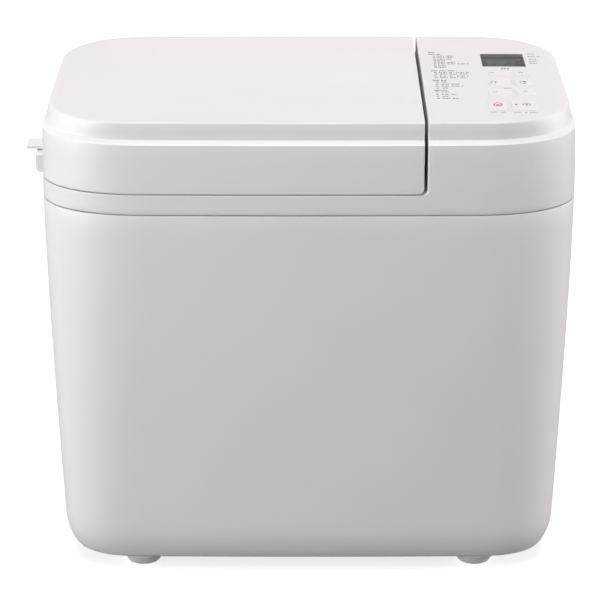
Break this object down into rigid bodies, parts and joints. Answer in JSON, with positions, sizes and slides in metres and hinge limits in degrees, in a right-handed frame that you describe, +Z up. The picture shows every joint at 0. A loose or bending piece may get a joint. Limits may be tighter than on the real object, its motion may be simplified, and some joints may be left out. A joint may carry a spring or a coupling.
{
  "type": "bread machine",
  "caption": "Countertop bread machine with a tapered rounded white housing, hinged lid with side tab, fixed control column with display and keys, removable pan and belt drive.",
  "frame": {"origin": "on the surface the machine stands on, under the middle of the overall box, lid tab included", "axes": "+X to the right as seen from the front, towards the control column; -Y to the front; +Z up"},
  "size_m": [0.408, 0.245, 0.362],
  "materials": {
    "lower_shell_white": "satin",
    "upper_shell_white": "satin",
    "lid_white": "satin",
    "base_white": "matte",
    "key_white": "satin",
    "foot_grey": "matte",
    "window_clear": "polished",
    "display": "gloss",
    "circuit_board": "satin",
    "zinc_steel": "zinc plated",
    "polished_steel": "polished",
    "heater_steel": "heat tinted",
    "chamber_metal": "satin",
    "cast_aluminium": "cast",
    "pan_coating": "non-stick",
    "bronze": "machined",
    "seal_rubber": "matte",
    "belt_rubber": "matte",
    "grey_plastic": "satin",
    "black_plastic": "satin"
  },
  "bodies": {
    "housing": {"baking_chamber": "chamber_metal", "base_plate": "base_white", "base_screw_front_left": "zinc_steel", "base_screw_front_right": "zinc_steel", "base_screw_rear_left": "zinc_steel", "base_screw_rear_right": "zinc_steel", "board_bracket": "zinc_steel", "capacitor": "black_plastic", "chassis_plate": "zinc_steel", "control_board": "circuit_board", "cord_gland": "black_plastic", "drive_bearing_housing": "cast_aluminium", "drive_belt": "belt_rubber", "drive_bush_lower": "bronze", "drive_bush_upper": "bronze", "foot_front_left": "foot_grey", "foot_front_right": "foot_grey", "foot_rear_left": "foot_grey", "foot_rear_right": "foot_grey", "heater_bracket_front": "zinc_steel", "heater_bracket_rear": "zinc_steel", "heater_element": "heater_steel", "hinge_pin_left": "polished_steel", "hinge_pin_right": "polished_steel", "lcd_module": "display", "lcd_window": "window_clear", "lower_housing": "lower_shell_white", "motor_body": "zinc_steel", "pan_lock_ring": "cast_aluminium", "power_board": "circuit_board", "transformer": "black_plastic", "upper_housing": "upper_shell_white", "wiring_harness": "black_plastic"},
    "lid": {"lid_cover": "lid_white", "lid_liner": "chamber_metal"},
    "sensor": {"temperature_sensor": "polished_steel"},
    "pan": {"bread_pan": "pan_coating", "pan_base": "cast_aluminium", "pan_bearing": "bronze", "pan_seal": "seal_rubber"},
    "bail": {"pan_bail": "polished_steel"},
    "blade": {"kneading_blade": "pan_coating", "pan_shaft": "polished_steel", "pan_coupling": "grey_plastic"},
    "drive": {"large_pulley": "grey_plastic", "drive_shaft": "polished_steel", "drive_coupling": "grey_plastic"},
    "rotor": {"motor_shaft": "polished_steel", "motor_pulley": "bronze", "motor_fan": "grey_plastic"},
    "key_menu_down": {"key_menu_down": "key_white"},
    "key_menu_up": {"key_menu_up": "key_white"},
    "key_size": {"key_size": "key_white"},
    "key_crust": {"key_crust": "key_white"},
    "key_timer_down": {"key_timer_down": "key_white"},
    "key_timer_up": {"key_timer_up": "key_white"},
    "key_stop": {"key_stop": "key_white"},
    "key_start": {"key_start": "key_white"}
  },
  "joints": [
    {"name": "lid_hinge", "type": "hinge", "parent": "housing", "child": "lid", "pos_m": [-0.041, 0.1155, 0.315], "axis": [-1, 0, 0], "range_deg": [0, 85]},
    {"name": "pan_twist", "type": "hinge", "parent": "housing", "child": "pan", "pos_m": [-0.041, 0, 0.1], "axis": [0, 0, 1], "range_deg": [0, 10]},
    {"name": "bail_swing", "type": "hinge", "parent": "pan", "child": "bail", "pos_m": [-0.041, 0, 0.286], "axis": [1, 0, 0], "range_deg": [0, 45]},
    {"name": "drive_spin", "type": "hinge", "parent": "housing", "child": "drive", "pos_m": [-0.041, 0, 0.06], "axis": [0, 0, 1], "continuous": true},
    {"name": "blade_spin", "type": "hinge", "parent": "pan", "child": "blade", "pos_m": [-0.041, 0, 0.14], "axis": [0, 0, 1], "continuous": true},
    {"name": "motor_spin", "type": "hinge", "parent": "housing", "child": "rotor", "pos_m": [0.127, 0, 0.06], "axis": [0, 0, 1], "continuous": true},
    {"name": "sensor_slide", "type": "slide", "parent": "housing", "child": "sensor", "axis": [1, 0, 0], "range_m": [0, 0.003], "stiffness_N_per_m": 300},
    {"name": "menu_down_press", "type": "slide", "parent": "housing", "child": "key_menu_down", "axis": [0, 0, -1], "range_m": [0, 0.0008], "stiffness_N_per_m": 1500},
    {"name": "menu_up_press", "type": "slide", "parent": "housing", "child": "key_menu_up", "axis": [0, 0, -1], "range_m": [0, 0.0008], "stiffness_N_per_m": 1500},
    {"name": "size_press", "type": "slide", "parent": "housing", "child": "key_size", "axis": [0, 0, -1], "range_m": [0, 0.0008], "stiffness_N_per_m": 1500},
    {"name": "crust_press", "type": "slide", "parent": "housing", "child": "key_crust", "axis": [0, 0, -1], "range_m": [0, 0.0008], "stiffness_N_per_m": 1500},
    {"name": "timer_down_press", "type": "slide", "parent": "housing", "child": "key_timer_down", "axis": [0, 0, -1], "range_m": [0, 0.0008], "stiffness_N_per_m": 1500},
    {"name": "timer_up_press", "type": "slide", "parent": "housing", "child": "key_timer_up", "axis": [0, 0, -1], "range_m": [0, 0.0008], "stiffness_N_per_m": 1500},
    {"name": "stop_press", "type": "slide", "parent": "housing", "child": "key_stop", "axis": [0, 0, -1], "range_m": [0, 0.0008], "stiffness_N_per_m": 1500},
    {"name": "start_press", "type": "slide", "parent": "housing", "child": "key_start", "axis": [0, 0, -1], "range_m": [0, 0.0008], "stiffness_N_per_m": 1500}
  ],
  "couplings": [
    {"joint": "blade_spin", "follows": "drive_spin", "ratio": 1},
    {"joint": "motor_spin", "follows": "drive_spin", "ratio": 5}
  ]
}
